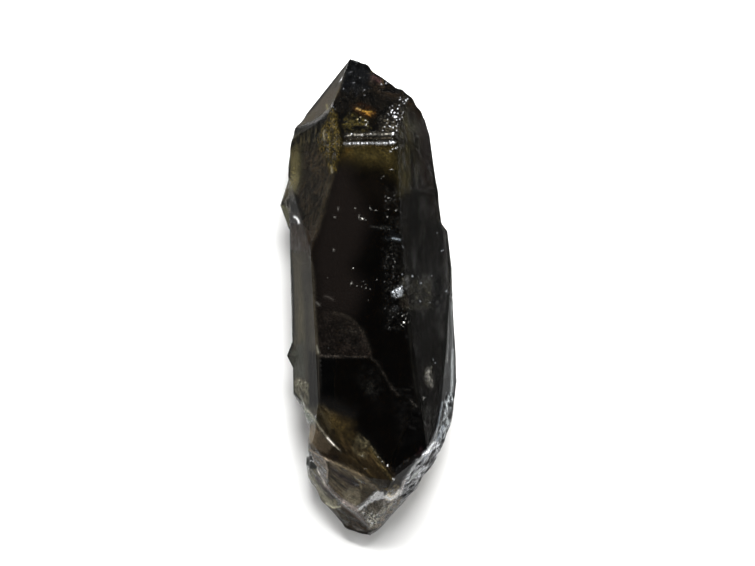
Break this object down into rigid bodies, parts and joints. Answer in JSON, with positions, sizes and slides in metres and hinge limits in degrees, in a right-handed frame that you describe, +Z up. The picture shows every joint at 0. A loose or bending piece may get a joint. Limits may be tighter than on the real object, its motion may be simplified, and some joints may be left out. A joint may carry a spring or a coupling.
{
  "type": "morion quartz crystal",
  "caption": "Elongated black smoky quartz crystal with one pointed end and one broken end, lying on a flat side face.",
  "frame": {"origin": "centre of the bounding box's underside, on the surface that the crystal rests on", "axes": "+Y along the crystal towards its pointed end, +X across it, +Z up from the resting face to the front prism face"},
  "size_m": [0.0242, 0.0654, 0.0177],
  "materials": {
    "smoky_quartz": "near-black see-through smoky quartz, glossy on the crystal faces, frosted and silvery on the fractured rim"
  },
  "bodies": {
    "root": {"quartz_crystal": "smoky_quartz"}
  },
  "joints": []
}
